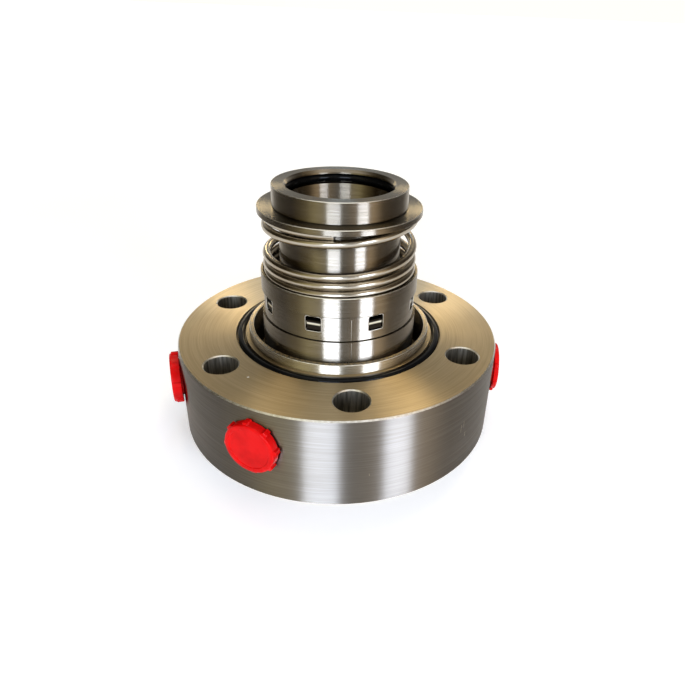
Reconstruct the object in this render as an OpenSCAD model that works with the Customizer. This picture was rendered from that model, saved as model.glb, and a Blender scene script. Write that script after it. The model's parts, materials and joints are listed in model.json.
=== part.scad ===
// Cartridge mechanical seal for a pump shaft.
// The joint face of the gland plate is at z = 0 and +Z runs along the shaft, out of the gland.
// Angles around the seal count from the front, which is -Y, towards +X.

/* [Shaft sleeve] */
// Diameter of the shaft that the sleeve fits
shaft_d = 57; // [50:0.5:60]
// Wall of the sleeve
sleeve_wall = 4.5; // [3.5:0.1:6]
// Height of the drive flange that the spring pushes on
flange_t = 3.2; // [2.5:0.1:6]
// How far the drive flange stands out past the spring shell
flange_over = 0.35; // [0:0.05:1.5]
// Height of the nose ring above the drive flange
nose_h = 10.9; // [9:0.1:16]
// Wall of the nose ring around the shaft
nose_wall = 7.6; // [6.5:0.1:9]
// Depth from the top of the nose to the middle of its O-ring groove
nose_groove_drop = 5; // [4.5:0.1:5.5]
// Thickness of the O-ring in the nose
nose_cord = 4; // [3:0.1:4.5]
// Radial width of the lead-in at the mouth of the sleeve
lead_in_w = 1.1; // [0.5:0.1:2]
// Height of the lead-in at the mouth of the sleeve
lead_in_h = 1.6; // [0.6:0.1:2]

/* [Spring] */
// Diameter of the spring wire
wire_d = 4.5; // [3.5:0.1:5]
// Length of the spring between its seat and the drive flange
spring_len = 41.8; // [39:0.1:50]
// Radial gap between the sleeve and the coils
spring_gap = 4.55; // [3.5:0.05:6]
// Gap between coils that lie closed
coil_gap = 0.1; // [0.1:0.05:0.3]
// How far the sleeve can be pushed into the head
sleeve_travel = 4; // [4:0.1:5]

/* [Retainer shell] */
// Radial gap between the coils and the shell
shell_gap = 0.3; // [0.3:0.05:1]
// Wall of the shell around the spring
shell_wall = 1.3; // [1:0.05:2.5]
// Height of the shell rim above the shoulder that carries the spring
shell_rim_h = 10.8; // [6:0.1:16]
// How far the lower band is stepped in
band_step = 1.15; // [0.5:0.05:1.5]
// Wall of the lower band
band_wall = 1.9; // [1.8:0.05:2.5]
// Height of the lower band, from its foot to the shoulder
band_h = 14.2; // [13.5:0.1:18]
// Number of windows in the lower band
window_count = 8; // [4:1:10]
// Width of a window
window_w = 8.8; // [6:0.1:11]
// Height of a window
window_h = 8.6; // [7:0.1:8.8]
// Radius of a window's corners
window_corner = 1.2; // [0.5:0.1:2]
// Height of the drive lugs that stand in the windows
lug_h = 4.9; // [3:0.1:6]
// Gap on each side of a lug in its window
lug_gap = 0.7; // [0.3:0.1:1.5]
// How far a lug stands out past the inside of the band
lug_reach = 1; // [0.4:0.1:1.6]
// Thickness of the washer under the spring
washer_t = 1.2; // [0.8:0.1:2]

/* [Seal faces] */
// Depth of the sealing face below the joint face
face_depth = 14; // [12:0.5:16]
// Height of the ring that holds the carbon
holder_h = 25; // [22:0.5:30]
// Height of the holder's neck inside the shell
neck_h = 4.8; // [4.6:0.1:8]
// Radial width of the carbon ring
carbon_w = 4.5; // [3.5:0.1:5]
// How far the carbon stands out of its holder
carbon_proud = 3; // [2:0.1:4]
// Depth to which the carbon is set in its holder
carbon_set = 6; // [4:0.1:8]
// Thickness of the O-ring between holder and sleeve
holder_cord = 3.2; // [2.5:0.1:3.2]
// Thickness of the backup ring beside that O-ring
backup_t = 1.5; // [1:0.1:2]
// Height of the stationary seat
seat_h = 10; // [9:0.1:13]
// Radial width of the stationary seat
seat_w = 10.8; // [10:0.1:12]
// How far the seat stands above the floor of the cavity
seat_proud = 3; // [2:0.1:3.6]
// Thickness of the O-ring around the seat
seat_cord = 3.2; // [2.5:0.1:3.4]
// Diameter of the pins that hold the seat
seat_pin_d = 3; // [2:0.1:4]

/* [Gland plate] */
// Diameter of the gland plate
gland_d = 183; // [180:0.5:200]
// Thickness of the gland plate
gland_t = 52; // [50.5:0.5:60]
// Bevel on the rim of the gland plate
gland_bevel = 0.7; // [0.2:0.1:2]
// Radial gap between the seal head and the wall of the cavity
cavity_gap = 5.65; // [3.5:0.05:6.5]
// Wall of the raised pilot ring
pilot_wall = 2.6; // [2:0.1:4]
// Height of the raised pilot ring
pilot_h = 5.3; // [3:0.1:8]
// Width of the land between the pilot ring and the groove
land_w = 2.25; // [1.5:0.05:3]
// Thickness of the O-ring in the joint face
gland_cord = 4; // [3:0.1:5]
// How far that O-ring stands proud of the joint face
gland_cord_proud = 0.8; // [0.4:0.1:1.2]
// How much wider the groove is than the O-ring
groove_room = 1.5; // [0.8:0.1:2]
// Height of the chamber under the seat
chamber_h = 6; // [5:0.1:7]

/* [Bolting and ports] */
// Number of bolt holes
bolt_count = 6; // [3, 6]
// How far the bolt circle lies inside the middle of the joint face
bolt_shift = 0.575; // [0:0.025:2]
// Diameter of a bolt hole
bolt_hole_d = 18; // [14:0.5:20]
// Diameter of the threaded ports in the rim
port_d = 20.8; // [16:0.1:22]
// Depth of the ports from the rim
port_depth = 16; // [12:0.5:18]
// Direction of the flush port
flush_angle = -31; // [-33:1:-27]
// Direction of the vent port
vent_angle = -80; // [-83:1:-78]
// Direction of the drain port
drain_angle = 79; // [77:1:83]
// Diameter of the drilling from the flush port
flush_drill_d = 6; // [4:0.1:8]
// Diameter of the drillings from the vent and drain ports
vent_drill_d = 5; // [3:0.1:5.5]

/* [Port plugs] */
// Diameter of a plug head over its ribs
plug_d = 29.8; // [27:0.1:32]
// Number of ribs around a plug head
plug_ribs = 8; // [6:1:12]
// Width of a rib
plug_rib_w = 2.2; // [1.6:0.1:4]
// Height of a rib above the corner of the head
plug_rib_h = 0.9; // [0.5:0.1:1.5]
// Height of the heads of the flush and vent plugs
plug_head_t = 5; // [3:0.1:8]
// Height of the flatter head of the drain plug
flat_plug_head_t = 2.8; // [2:0.1:5]

/* [Bushing and collar] */
// Running gap between the sleeve and the throttle bushing
bushing_gap = 0.3; // [0.2:0.05:0.6]
// Radial width of the shoulder above the bushing
bushing_step = 2; // [1.5:0.1:3]
// How far the collar stays sunk in the gland when the sleeve is pushed in
collar_spare = 0.5; // [0.5:0.1:2]
// Radial width of the drive collar
collar_w = 13.5; // [12:0.1:14]
// Height of the drive collar
collar_t = 7.1; // [6.5:0.1:8]
// Height of the flange of the clamp cone
clamp_flange_t = 3.2; // [2.6:0.1:4]
// Number of collar screws
screw_count = 6; // [3:1:8]
// Diameter of the collar screws
screw_d = 4; // [3:0.1:4.2]

/* [Hidden] */
$fn = 96;

// Colours
steel = [0.62, 0.56, 0.48];
bright_steel = [0.72, 0.70, 0.67];
spring_steel = [0.55, 0.50, 0.43];
black_rubber = [0.06, 0.06, 0.06];
red_plastic = [0.85, 0.05, 0.07];
carbon_black = [0.16, 0.16, 0.17];
ceramic_grey = [0.30, 0.31, 0.33];
ptfe_white = [0.90, 0.90, 0.87];

// Clearances
overcut = 1;
fit_gap = 0.05;
slide_gap = 0.15;
film_gap = 0.02;
free_gap = 0.3;
small_bevel = 0.3;

// The seal head is turned a little against the gland's bolt holes
head_turn = -0.7;

// Radii, from the shaft outwards
bore_r = shaft_d / 2;
sleeve_r = bore_r + sleeve_wall;
nose_r = bore_r + nose_wall;
coil_in_r = sleeve_r + spring_gap;
coil_r = coil_in_r + wire_d / 2;
shell_in_r = coil_in_r + wire_d + shell_gap;
head_r = shell_in_r + shell_wall;
band_r = head_r - band_step;
band_in_r = band_r - band_wall;
neck_r = band_in_r - slide_gap;
flange_r = head_r + flange_over;
seat_in_r = sleeve_r + 2.2;
seat_r = seat_in_r + seat_w;
pocket_r = seat_r + slide_gap;
carbon_in_r = seat_in_r + 1.2;
carbon_r = carbon_in_r + carbon_w;
cavity_r = head_r + cavity_gap;
pilot_r = cavity_r + pilot_wall;
groove_in_r = pilot_r + land_w;
groove_r = groove_in_r + gland_cord + groove_room;
gland_r = gland_d / 2;
bolt_circle_r = (groove_r + gland_r) / 2 - bolt_shift;
chamber_r = sleeve_r + 4;
bushing_bore_r = chamber_r + bushing_step;
collar_r = sleeve_r + collar_w;
recess_r = collar_r + 1.5;

// Levels, up through the seal head
face_z = -face_depth;
holder_z = face_z + carbon_proud;
ledge_z = holder_z + holder_h;
neck_z = ledge_z + neck_h;
shoulder_z = ledge_z + band_h;
rim_z = shoulder_z + shell_rim_h;
washer_z = shoulder_z + washer_t;
flange_z = washer_z + spring_len;
nose_z = flange_z + flange_t;
top_z = nose_z + nose_h;

// Levels, down through the gland plate
cavity_z = face_z - seat_proud;
seat_z = face_z - seat_h;
chamber_z = seat_z - chamber_h;
bottom_z = -gland_t;
sleeve_z = bottom_z + sleeve_travel + collar_spare;
collar_z = sleeve_z + clamp_flange_t + 0.2;
recess_z = collar_z + collar_t + free_gap;

module ring(r_in, r_out, z_low, z_high) {
    rotate_extrude()
        translate([r_in, z_low])
            square([r_out - r_in, z_high - z_low]);
}

module o_ring(r_mean, z, cord) {
    rotate_extrude()
        translate([r_mean, z])
            circle(d = cord, $fn = 32);
}

// Snap ring with its opening at the front
module snap_ring(r_in, r_out, z_low, z_high, opening) {
    difference() {
        ring(r_in, r_out, z_low, z_high);
        translate([-opening / 2, -r_out - overcut, z_low - overcut])
            cube([opening, r_out, z_high - z_low + 2 * overcut]);
    }
}

// Places children on a radius in a direction counted from the front
module toward(angle) {
    rotate([0, 0, angle - 90])
        children();
}

// Straight drilling between two points of one half plane
module drilling(start, end, d) {
    run = end - start;
    translate([start.x, 0, start.y])
        rotate([0, atan2(run.x, run.y), 0])
            cylinder(d = d, h = norm(run));
}

/* Gland plate */
groove_depth = gland_cord - gland_cord_proud;
pin_circle_r = (chamber_r + pocket_r) / 2;
seat_notch_h = 2;
seat_pin_sink = 4;
pin_angles = [30, 210];
port_z = chamber_z + chamber_h / 2 + 6.9;
port_bottom_r = gland_r - port_depth;
port_overlap = 0.5;
snap_t = 1.3;
snap_groove_w = 1.5;
snap_wall = 1.2;
snap_groove_z = recess_z + snap_wall;
snap_depth = 1.5;
punch_angle = -44.8;
punch_inset = 11.7;
punch_depth = 0.4;

gland_outline = [
    [recess_r, bottom_z],
    [gland_r - gland_bevel, bottom_z],
    [gland_r, bottom_z + gland_bevel],
    [gland_r, -gland_bevel],
    [gland_r - gland_bevel, 0],
    [groove_r, 0],
    [groove_r, -groove_depth],
    [groove_in_r, -groove_depth],
    [groove_in_r, 0],
    [pilot_r, 0],
    [pilot_r, pilot_h - small_bevel],
    [pilot_r - small_bevel, pilot_h],
    [cavity_r + small_bevel, pilot_h],
    [cavity_r, pilot_h - small_bevel],
    [cavity_r, cavity_z],
    [pocket_r + small_bevel, cavity_z],
    [pocket_r, cavity_z - small_bevel],
    [pocket_r, seat_z],
    [chamber_r, seat_z],
    [chamber_r, chamber_z],
    [bushing_bore_r, chamber_z],
    [bushing_bore_r, snap_groove_z + snap_groove_w],
    [bushing_bore_r + snap_depth, snap_groove_z + snap_groove_w],
    [bushing_bore_r + snap_depth, snap_groove_z],
    [bushing_bore_r, snap_groove_z],
    [bushing_bore_r, recess_z],
    [recess_r, recess_z]
];

module bolt_hole() {
    hole_bevel = 0.6;
    translate([0, 0, bottom_z - overcut])
        cylinder(d = bolt_hole_d, h = gland_t + 2 * overcut);
    for (side = [0, 1])
        translate([0, 0, side * bottom_z])
            mirror([0, 0, side])
                translate([0, 0, -hole_bevel])
                    cylinder(d1 = bolt_hole_d, d2 = bolt_hole_d + 4 * hole_bevel, h = 2 * hole_bevel);
}

module port_hole(angle) {
    toward(angle)
        translate([port_bottom_r, 0, port_z])
            rotate([0, 90, 0])
                cylinder(d = port_d, h = port_depth + overcut);
}

module gland_plate() {
    color(steel)
        difference() {
            rotate_extrude()
                polygon(gland_outline);
            for (i = [0 : bolt_count - 1])
                toward(i * 360 / bolt_count)
                    translate([bolt_circle_r, 0, 0])
                        bolt_hole();
            for (angle = [flush_angle, vent_angle, drain_angle])
                port_hole(angle);
            toward(flush_angle)
                drilling([port_bottom_r + port_overlap, port_z + port_d * 0.15],
                    [cavity_r - flush_drill_d * 0.2, cavity_z + flush_drill_d * 1.3], flush_drill_d);
            for (angle = [vent_angle, drain_angle])
                toward(angle)
                    drilling([port_bottom_r + port_overlap, chamber_z + chamber_h / 2],
                        [chamber_r - 1, chamber_z + chamber_h / 2], vent_drill_d);
            for (angle = pin_angles)
                toward(angle)
                    translate([pin_circle_r, 0, seat_z - seat_pin_sink])
                        cylinder(d = seat_pin_d + fit_gap, h = seat_pin_sink + overcut, $fn = 32);
            toward(punch_angle)
                translate([groove_r + punch_inset, 0, -punch_depth])
                    cylinder(r1 = punch_depth / 2, r2 = 3 * punch_depth, h = 2 * punch_depth, $fn = 24);
        }
}

module gland_o_ring() {
    color(black_rubber)
        o_ring((groove_in_r + groove_r) / 2, gland_cord_proud - gland_cord / 2, gland_cord);
}

/* Stationary seat */
seat_step = 1.5;
seat_nose_r = carbon_r + 1.6;
seat_groove_r = pocket_r - seat_cord - fit_gap;
seat_groove_z = seat_z + 2.6;
seat_groove_w = seat_cord + 0.4;

module stationary_seat() {
    color(ceramic_grey)
        difference() {
            rotate_extrude()
                polygon([
                    [seat_in_r, seat_z],
                    [seat_r, seat_z],
                    [seat_r, seat_groove_z],
                    [seat_groove_r, seat_groove_z],
                    [seat_groove_r, seat_groove_z + seat_groove_w],
                    [seat_r, seat_groove_z + seat_groove_w],
                    [seat_r, face_z - seat_step - small_bevel],
                    [seat_r - small_bevel, face_z - seat_step],
                    [seat_nose_r, face_z - seat_step],
                    [seat_nose_r, face_z],
                    [seat_in_r, face_z]
                ]);
            for (angle = pin_angles)
                toward(angle)
                    translate([pin_circle_r, 0, seat_z - overcut])
                        cylinder(d = seat_pin_d + 2 * slide_gap, h = seat_notch_h + fit_gap + overcut, $fn = 32);
        }
}

module seat_o_ring() {
    color(black_rubber)
        o_ring(pocket_r - film_gap - seat_cord / 2, seat_groove_z + seat_groove_w / 2, seat_cord);
}

module seat_pins() {
    color(bright_steel)
        for (angle = pin_angles)
            toward(angle)
                translate([pin_circle_r, 0, seat_z - seat_pin_sink])
                    cylinder(d = seat_pin_d, h = seat_pin_sink + seat_notch_h, $fn = 32);
}

/* Throttle bushing */
module throttle_bushing() {
    color(carbon_black)
        ring(sleeve_r + bushing_gap, bushing_bore_r - 0.25, snap_groove_z + snap_groove_w, chamber_z);
}

module bushing_snap_ring() {
    snap_low = snap_groove_z + (snap_groove_w - snap_t) / 2;
    color(bright_steel)
        snap_ring(bushing_bore_r - 1.8, bushing_bore_r + snap_depth - 0.1, snap_low, snap_low + snap_t, 10);
}

/* Port plugs */
plug_standoff = 0.4;
plug_bevel = 0.5;
plug_rib_sink = 1.5;
plug_corner_r = plug_d / 2 - plug_rib_h;
plug_prism_r = (plug_corner_r + plug_corner_r / cos(180 / plug_ribs)) / 2;
plug_lead = 1;
plug_wall = 3;

// Head of a plug without its ribs, halfway between round and straight from rib to rib
module plug_cap(head_t) {
    intersection() {
        union() {
            cylinder(r = plug_corner_r, h = head_t - plug_bevel);
            translate([0, 0, head_t - plug_bevel])
                cylinder(r1 = plug_corner_r, r2 = plug_corner_r - plug_bevel, h = plug_bevel);
        }
        linear_extrude(head_t)
            polygon([for (i = [0 : plug_ribs - 1])
                plug_prism_r * [cos(i * 360 / plug_ribs), sin(i * 360 / plug_ribs)]]);
    }
}

// Slim ribs on the corners of the head
module plug_rib_row(head_t) {
    rib_t = head_t - plug_bevel;
    intersection() {
        cylinder(d = plug_d, h = rib_t);
        for (i = [0 : plug_ribs - 1])
            rotate([0, 0, i * 360 / plug_ribs])
                translate([plug_corner_r - plug_rib_sink, -plug_rib_w / 2, 0])
                    cube([plug_rib_sink + 2 * plug_rib_h, plug_rib_w, rib_t]);
    }
}

// Hollow threaded plug with a ribbed head, pointing out of its port
module port_plug(angle, head_t, rib_turn) {
    color(red_plastic)
        toward(angle)
            translate([gland_r + plug_standoff, 0, port_z])
                rotate([0, 90, 0])
                    difference() {
                        union() {
                            translate([0, 0, plug_lead - port_depth])
                                cylinder(d = port_d - 2 * fit_gap, h = port_depth);
                            rotate([0, 0, rib_turn]) {
                                plug_cap(head_t);
                                plug_rib_row(head_t);
                            }
                        }
                        translate([0, 0, plug_lead - port_depth - overcut])
                            cylinder(d = port_d - 2 * plug_wall, h = port_depth - 2 * plug_lead + overcut);
                    }
}

/* Retainer shell */
shell_snap_t = 1.2;
shell_snap_z = ledge_z + 2;
shell_snap_depth = 0.8;
window_lintel = 0.7;
step_z = shoulder_z - 0.6;

// Outline of an upright rectangle with round corners, standing on the middle of its lower edge
function round_window(w, h, r) =
    let (step = 18, centres = [[w / 2 - r, h - r], [r - w / 2, h - r], [r - w / 2, r], [w / 2 - r, r]])
    [for (c = [0 : 3], a = [c * 90 : step : c * 90 + 90])
        [centres[c].x + r * cos(a), centres[c].y + r * sin(a)]];

module window_cut(angle) {
    toward(angle)
        translate([band_in_r - overcut, 0, shoulder_z - window_lintel - window_h])
            rotate([90, 0, 90])
                linear_extrude(band_wall + 2 * overcut)
                    polygon(round_window(window_w, window_h, window_corner));
}

// Direction of window number i
function window_angle(i) = head_turn + (i + 0.5) * 360 / window_count;

module retainer_shell() {
    color(steel)
        difference() {
            rotate_extrude()
                polygon([
                    [band_in_r, ledge_z],
                    [band_r - small_bevel, ledge_z],
                    [band_r, ledge_z + small_bevel],
                    [band_r, step_z],
                    [head_r, shoulder_z + small_bevel],
                    [head_r, rim_z - small_bevel],
                    [head_r - small_bevel, rim_z],
                    [shell_in_r, rim_z],
                    [shell_in_r, shoulder_z],
                    [band_in_r, shoulder_z],
                    [band_in_r, shell_snap_z + shell_snap_t + fit_gap],
                    [band_in_r + shell_snap_depth, shell_snap_z + shell_snap_t + fit_gap],
                    [band_in_r + shell_snap_depth, shell_snap_z - fit_gap],
                    [band_in_r, shell_snap_z - fit_gap]
                ]);
            for (i = [0 : window_count - 1])
                window_cut(window_angle(i));
        }
}

module shell_snap_ring() {
    color(spring_steel)
        snap_ring(neck_r - shell_snap_depth + fit_gap, band_in_r + shell_snap_depth - fit_gap,
            shell_snap_z, shell_snap_z + shell_snap_t, 8);
}

/* Thrust ring */
hub_in_r = sleeve_r + 0.6;
hub_r = coil_in_r;
lug_z = shoulder_z - window_h;
lug_bevel = 0.4;
lug_rise = 0.5;

module thrust_ring() {
    lug_w = window_w - 2 * lug_gap;
    lug_r = band_in_r + lug_reach;
    color(bright_steel) {
        rotate_extrude()
            polygon([
                [hub_in_r, neck_z],
                [neck_r, neck_z],
                [neck_r, lug_z + lug_h - lug_rise],
                [hub_r, lug_z + lug_h - lug_rise],
                [hub_r, shoulder_z],
                [hub_in_r, shoulder_z]
            ]);
        for (i = [0 : window_count - 1])
            toward(window_angle(i))
                translate([0, lug_w / 2, 0])
                    rotate([90, 0, 0])
                        linear_extrude(lug_w)
                            polygon([
                                [hub_r - overcut, lug_z],
                                [lug_r, lug_z],
                                [lug_r, lug_z + lug_h - lug_bevel],
                                [lug_r - lug_bevel, lug_z + lug_h],
                                [hub_r - overcut, lug_z + lug_h]
                            ]);
    }
}

module spring_seat() {
    color(bright_steel)
        ring(sleeve_r + 1, shell_in_r - slide_gap, shoulder_z, washer_z);
}

/* Spring */
closed_pitch = wire_d + coil_gap;
// Turn number and height of the wire's middle, in closed coils above the washer
lower_turns = [[-3, 0.17], [-2.2, 0.65], [-2, 1.17], [-1, 2.17], [0, 3.17], [1, 4.6]];
// Turn number and depth of the wire's middle, in closed coils below the drive flange
upper_turns = [[1.875, 1.39], [2, 1.13], [2.083, 0.84], [2.167, 0.57], [2.99, 0.16]];
coil_turns = concat(
    [for (k = lower_turns) [k.x, washer_z + k.y * closed_pitch]],
    [for (k = upper_turns) [k.x, flange_z - k.y * closed_pitch]]
);
coil_last = len(coil_turns) - 1;
coil_steps = 44;
wire_sides = 12;
coil_front = head_turn - 4.8;

function coil_slope(k) =
    let (low = coil_turns[max(k - 1, 0)], high = coil_turns[min(k + 1, coil_last)])
    (high.y - low.y) / (high.x - low.x);

// Number of the stretch between two known turns that turn t lies on
function coil_stretch(t, k = 0) = k >= coil_last - 1 || t < coil_turns[k + 1].x ? k : coil_stretch(t, k + 1);

// Height of the wire's middle at turn t, on a smooth curve through the known turns
function coil_height(t) =
    let (
        k = coil_stretch(t),
        low = coil_turns[k],
        high = coil_turns[k + 1],
        span = high.x - low.x,
        s = (t - low.x) / span
    )
    low.y * (1 - 3 * s * s + 2 * s * s * s) + high.y * (3 * s * s - 2 * s * s * s)
    + coil_slope(k) * span * (s - 2 * s * s + s * s * s) + coil_slope(k + 1) * span * (s * s * s - s * s);

function coil_ring(t) =
    let (angle = coil_front - 90 + 360 * t)
    [for (j = [0 : wire_sides - 1])
        let (a = j * 360 / wire_sides, r = coil_r + wire_d / 2 * cos(a))
        [r * cos(angle), r * sin(angle), coil_height(t) + wire_d / 2 * sin(a)]];

module coil() {
    first = coil_turns[0].x;
    last = coil_turns[coil_last].x;
    rings = ceil((last - first) * coil_steps);
    points = [for (i = [0 : rings]) each coil_ring(first + (last - first) * i / rings)];
    walls = [for (i = [0 : rings - 1], j = [0 : wire_sides - 1])
        let (next = (j + 1) % wire_sides, a = i * wire_sides, b = a + wire_sides)
        each [[a + j, b + j, b + next], [a + j, b + next, a + next]]];
    caps = [[for (j = [0 : wire_sides - 1]) j], [for (j = [wire_sides - 1 : -1 : 0]) rings * wire_sides + j]];
    polyhedron(points, concat(walls, caps));
}

module spring() {
    color(spring_steel)
        intersection() {
            coil();
            translate([0, 0, washer_z])
                cylinder(r = head_r, h = spring_len);
        }
}

/* Face ring */
holder_in_r = sleeve_r + slide_gap;
carbon_top_z = holder_z + carbon_set;
cord_rise = 13;
cord_low_z = holder_z + cord_rise;
cord_room = holder_cord + backup_t + fit_gap * 4;

module face_ring() {
    color(steel)
        difference() {
            rotate_extrude()
                polygon([
                    [holder_in_r, holder_z],
                    [head_r - small_bevel, holder_z],
                    [head_r, holder_z + small_bevel],
                    [head_r, ledge_z],
                    [neck_r, ledge_z],
                    [neck_r, shell_snap_z - fit_gap],
                    [neck_r - shell_snap_depth, shell_snap_z - fit_gap],
                    [neck_r - shell_snap_depth, shell_snap_z + shell_snap_t + fit_gap],
                    [neck_r, shell_snap_z + shell_snap_t + fit_gap],
                    [neck_r, neck_z],
                    [holder_in_r, neck_z],
                    [holder_in_r, cord_low_z + cord_room],
                    [sleeve_r + holder_cord + fit_gap, cord_low_z + cord_room],
                    [sleeve_r + holder_cord + fit_gap, cord_low_z],
                    [holder_in_r, cord_low_z]
                ]);
            ring(carbon_in_r - fit_gap, carbon_r + fit_gap, holder_z - overcut, carbon_top_z + fit_gap);
        }
}

module carbon_insert() {
    color(carbon_black)
        ring(carbon_in_r, carbon_r, face_z + film_gap, carbon_top_z);
}

module dynamic_o_ring() {
    color(black_rubber)
        o_ring(sleeve_r + film_gap + holder_cord / 2, cord_low_z + fit_gap + holder_cord / 2, holder_cord);
}

module backup_ring() {
    backup_z = cord_low_z + holder_cord + 2 * fit_gap;
    color(ptfe_white)
        ring(holder_in_r + fit_gap, sleeve_r + holder_cord, backup_z, backup_z + backup_t);
}

/* Sleeve */
sleeve_bevel = 0.6;
undercut_h = 0.5;
undercut_depth = 0.4;
nose_groove_w = nose_cord * 1.35;
nose_groove_z = top_z - nose_groove_drop;
nick_angle = -9.5;
nick_size = 0.9;

module sleeve() {
    color(steel)
        difference() {
            rotate_extrude()
                polygon([
                    [bore_r + sleeve_bevel, sleeve_z],
                    [sleeve_r - sleeve_bevel, sleeve_z],
                    [sleeve_r, sleeve_z + sleeve_bevel],
                    [sleeve_r, flange_z],
                    [flange_r - small_bevel, flange_z],
                    [flange_r, flange_z + small_bevel],
                    [flange_r, nose_z - small_bevel],
                    [flange_r - small_bevel, nose_z],
                    [nose_r - undercut_depth, nose_z],
                    [nose_r - undercut_depth, nose_z + undercut_h],
                    [nose_r, nose_z + undercut_h],
                    [nose_r, top_z - small_bevel],
                    [nose_r - small_bevel, top_z],
                    [bore_r + lead_in_w, top_z],
                    [bore_r, top_z - lead_in_h],
                    [bore_r, nose_groove_z + nose_groove_w / 2],
                    [bore_r + nose_cord + fit_gap, nose_groove_z + nose_groove_w / 2],
                    [bore_r + nose_cord + fit_gap, nose_groove_z - nose_groove_w / 2],
                    [bore_r, nose_groove_z - nose_groove_w / 2],
                    [bore_r, sleeve_z + sleeve_bevel]
                ]);
            toward(nick_angle)
                translate([flange_r, 0, flange_z])
                    rotate([45, 0, 0])
                        cube([2 * nick_size, nick_size, nick_size], center = true);
        }
}

module sleeve_o_ring() {
    color(black_rubber)
        o_ring(bore_r + film_gap + nose_cord / 2, nose_groove_z, nose_cord);
}

/* Drive collar and clamp cone */
cone_low_r = sleeve_r + 4.2;
cone_high_r = sleeve_r + 3;
clamp_flange_r = collar_r - 1.5;
screw_circle_r = (cone_low_r + clamp_flange_r) / 2;
screw_len = clamp_flange_t + 5;
screw_head_d = screw_d * 1.85;
screw_head_h = screw_d * 0.55;
clamp_top_z = sleeve_z + clamp_flange_t;
slit_w = 1.5;

module screw_places() {
    for (i = [0 : screw_count - 1])
        toward((i + 0.5) * 360 / screw_count)
            translate([screw_circle_r, 0, sleeve_z])
                children();
}

module drive_collar() {
    collar_top_z = collar_z + collar_t;
    color(steel)
        difference() {
            rotate_extrude()
                polygon([
                    [cone_low_r + fit_gap, collar_z],
                    [collar_r - sleeve_bevel, collar_z],
                    [collar_r, collar_z + sleeve_bevel],
                    [collar_r, collar_top_z - sleeve_bevel],
                    [collar_r - sleeve_bevel, collar_top_z],
                    [cone_high_r + fit_gap, collar_top_z]
                ]);
            screw_places()
                cylinder(d = screw_d + fit_gap, h = screw_len + 0.6, $fn = 24);
        }
}

module clamp_cone() {
    color(bright_steel)
        difference() {
            rotate_extrude()
                polygon([
                    [sleeve_r + film_gap, sleeve_z],
                    [clamp_flange_r - small_bevel, sleeve_z],
                    [clamp_flange_r, sleeve_z + small_bevel],
                    [clamp_flange_r, clamp_top_z],
                    [cone_low_r, clamp_top_z],
                    [cone_high_r, collar_z + collar_t - 0.3],
                    [sleeve_r + film_gap, collar_z + collar_t - 0.3]
                ]);
            screw_places() {
                translate([0, 0, -overcut])
                    cylinder(d = screw_d + 2 * slide_gap, h = clamp_flange_t + 2 * overcut, $fn = 24);
                translate([0, 0, -film_gap])
                    cylinder(d1 = screw_head_d + 2 * slide_gap, d2 = screw_d + 2 * slide_gap,
                        h = screw_head_h + slide_gap, $fn = 24);
            }
            toward(0)
                translate([0, -slit_w / 2, sleeve_z - overcut])
                    cube([collar_r, slit_w, clamp_flange_t + collar_t + 2 * overcut]);
        }
}

module collar_screws() {
    color(bright_steel)
        screw_places()
            difference() {
                union() {
                    cylinder(d1 = screw_head_d, d2 = screw_d, h = screw_head_h, $fn = 24);
                    cylinder(d = screw_d, h = screw_len, $fn = 24);
                }
                translate([0, 0, -overcut])
                    cylinder(d = screw_d * 0.62, h = overcut + screw_head_h * 0.7, $fn = 6);
            }
}

gland_plate();
gland_o_ring();
stationary_seat();
seat_o_ring();
seat_pins();
throttle_bushing();
bushing_snap_ring();
port_plug(flush_angle, plug_head_t, 6);  // port_plug_flush
port_plug(vent_angle, plug_head_t, 14);  // port_plug_vent
port_plug(drain_angle, flat_plug_head_t, 14);  // port_plug_drain
retainer_shell();
thrust_ring();
spring_seat();
spring();
face_ring();
carbon_insert();
dynamic_o_ring();
backup_ring();
shell_snap_ring();
sleeve();
sleeve_o_ring();
drive_collar();
clamp_cone();
collar_screws();
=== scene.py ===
# %% [markdown]
# # A cartridge mechanical seal
# The real object is a pump seal: a thick turned gland plate, three red shipping plugs in its rim
# and, standing out of it, the rotating head with one heavy spring on a polished sleeve.
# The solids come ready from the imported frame. This script gives them their finish, and it makes
# the pieces again whose shape needs more than the solids hold.

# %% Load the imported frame
import json
from math import ceil, cos, pi, radians, sin

import bmesh
import bpy
from mathutils import Matrix, Vector


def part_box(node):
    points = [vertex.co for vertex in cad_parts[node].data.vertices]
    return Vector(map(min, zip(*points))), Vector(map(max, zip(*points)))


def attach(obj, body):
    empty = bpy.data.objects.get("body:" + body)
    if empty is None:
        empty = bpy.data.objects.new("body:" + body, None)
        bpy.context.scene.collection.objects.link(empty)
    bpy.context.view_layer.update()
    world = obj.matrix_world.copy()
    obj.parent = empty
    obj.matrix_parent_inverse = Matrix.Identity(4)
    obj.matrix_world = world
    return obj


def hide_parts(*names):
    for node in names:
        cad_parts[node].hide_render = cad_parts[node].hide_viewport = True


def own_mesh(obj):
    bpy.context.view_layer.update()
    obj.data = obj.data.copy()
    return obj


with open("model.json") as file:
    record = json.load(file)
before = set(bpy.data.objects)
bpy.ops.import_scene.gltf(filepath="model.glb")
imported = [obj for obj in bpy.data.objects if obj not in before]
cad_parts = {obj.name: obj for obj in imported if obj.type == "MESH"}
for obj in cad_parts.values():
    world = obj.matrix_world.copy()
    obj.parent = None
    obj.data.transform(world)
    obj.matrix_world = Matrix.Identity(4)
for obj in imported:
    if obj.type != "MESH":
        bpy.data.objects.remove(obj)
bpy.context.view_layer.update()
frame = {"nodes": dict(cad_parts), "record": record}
nodes = frame["nodes"]
MM = 0.001
print("nodes in the frame:", len(nodes))

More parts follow.
